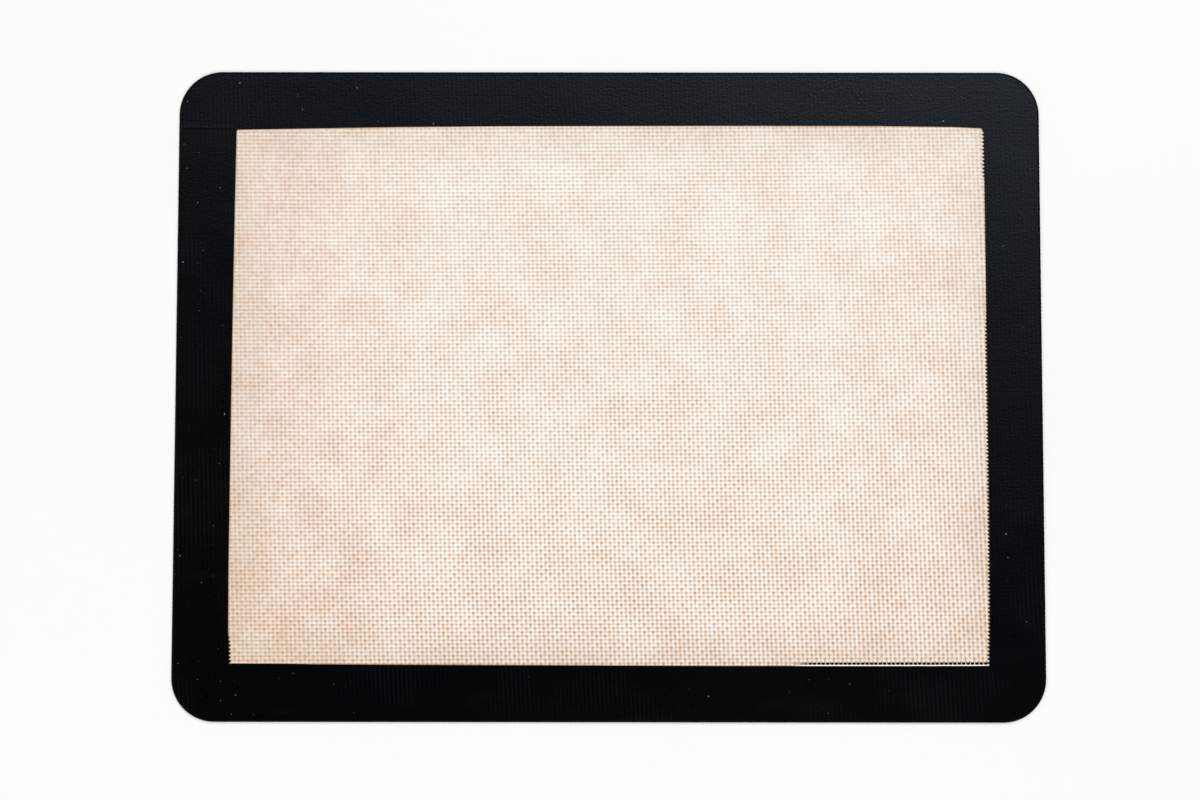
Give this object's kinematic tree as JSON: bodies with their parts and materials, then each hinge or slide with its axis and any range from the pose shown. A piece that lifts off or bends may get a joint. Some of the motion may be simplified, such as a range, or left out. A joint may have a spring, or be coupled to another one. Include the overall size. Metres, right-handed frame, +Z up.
{
  "type": "silicone baking mat",
  "caption": "Flat rectangular baking mat with rounded corners: woven glass cloth between thin translucent silicone coats, with a black printed border and a sealed edge.",
  "frame": {"origin": "centre of the underside, on the surface that the mat lies on", "axes": "+X along the length, +Y towards the rear edge, +Z up out of the baking face"},
  "size_m": [0.4, 0.3, 0.0007],
  "materials": {
    "baking_face_silicone": "satin translucent silicone over white glass cloth",
    "underside_silicone": "satin translucent silicone over white glass cloth",
    "glass_yarn": "white glass yarn soaked in silicone",
    "black_silicone": "satin black silicone print"
  },
  "bodies": {
    "root": {"underside_silicone_coat": "underside_silicone", "warp_yarns": "glass_yarn", "weft_yarns": "glass_yarn", "baking_face_silicone_coat": "baking_face_silicone", "border_band_front_left": "black_silicone", "border_band_rear_right": "black_silicone", "edge_seal": "black_silicone"}
  },
  "joints": []
}
